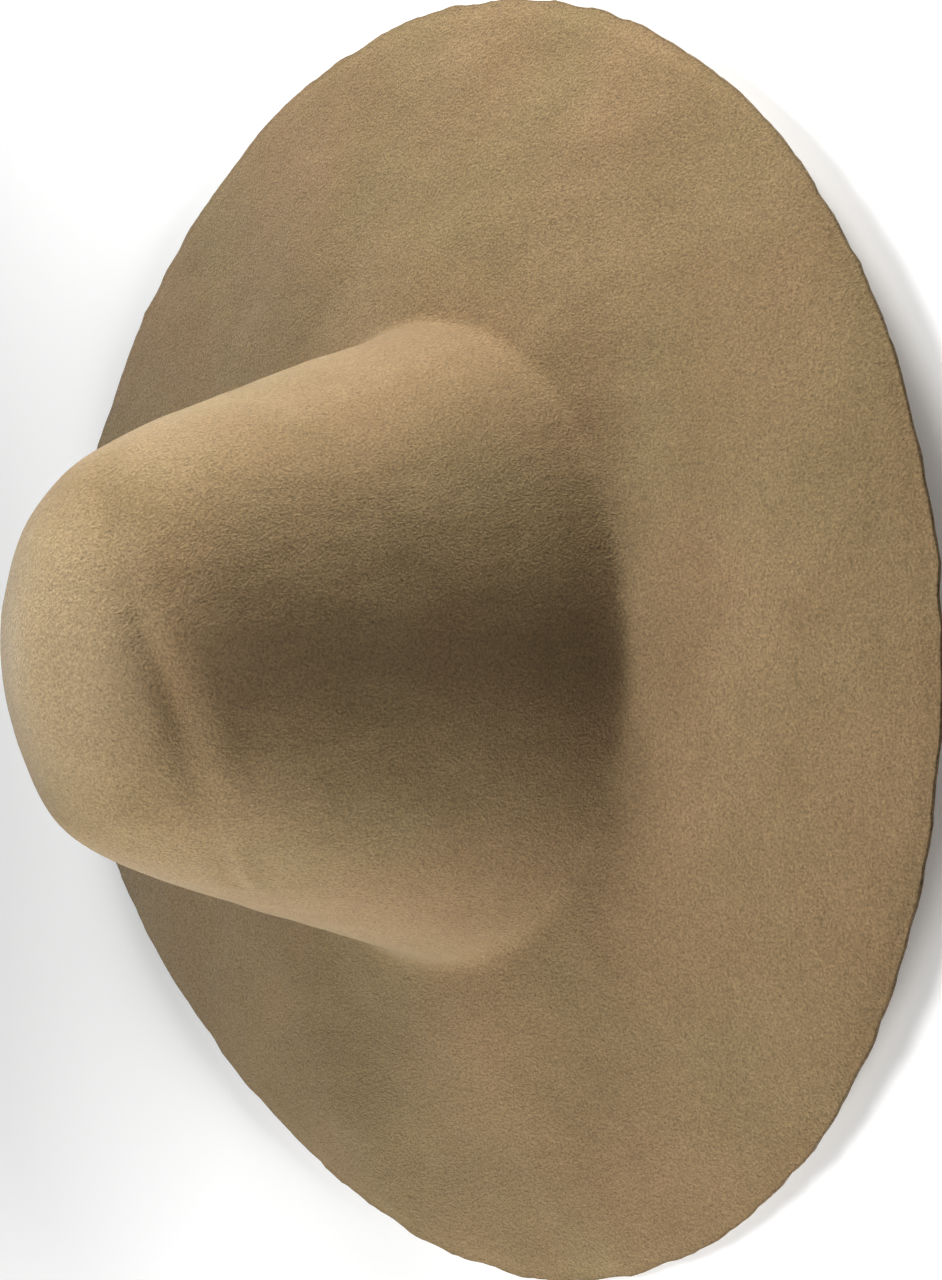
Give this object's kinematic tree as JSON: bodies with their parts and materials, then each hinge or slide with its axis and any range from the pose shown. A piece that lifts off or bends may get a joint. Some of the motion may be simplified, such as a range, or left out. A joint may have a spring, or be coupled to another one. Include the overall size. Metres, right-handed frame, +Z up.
{
  "type": "open-crown cowboy hat",
  "caption": "Open-crown felt hat with a wide, gently saddled brim and a raw cut edge, a leather sweatband on a reed, a rear bow and a cloth lining.",
  "frame": {"origin": "bottom centre of the object's box: Z = 0 is the surface that the brim's front and rear ends stand on, and the Z axis runs up the middle of the crown", "axes": "+Z up through the crown, -Y towards the wearer's front, +Y towards the rear, +X towards the wearer's left"},
  "size_m": [0.4185, 0.4347, 0.1892],
  "materials": {
    "felt": "matte brushed fur felt, tan",
    "sweatband_leather": "smooth vegetable-tanned roan leather, satin",
    "reed_plastic": "translucent plastic reed, satin",
    "tape_cloth": "fine woven tape, matte",
    "thread": "twisted sewing thread",
    "ribbon": "ribbed ribbon, low sheen",
    "lining_satin": "satin weave, soft sheen",
    "clear_film": "thin clear plastic film"
  },
  "bodies": {
    "root": {"felt_body": "felt", "sweatband": "sweatband_leather", "sweatband_reed": "reed_plastic", "reed_tape": "tape_cloth", "tape_stitches": "thread", "felt_stitches": "thread", "rear_joint_backing": "tape_cloth", "rear_joint_stitches": "thread", "bow_ribbon": "ribbon", "bow_knot": "ribbon", "lining_side": "lining_satin", "lining_tip": "lining_satin", "lining_piping": "lining_satin", "lining_stitches": "thread", "tip_protector": "clear_film", "protector_stitches": "thread"}
  },
  "joints": []
}
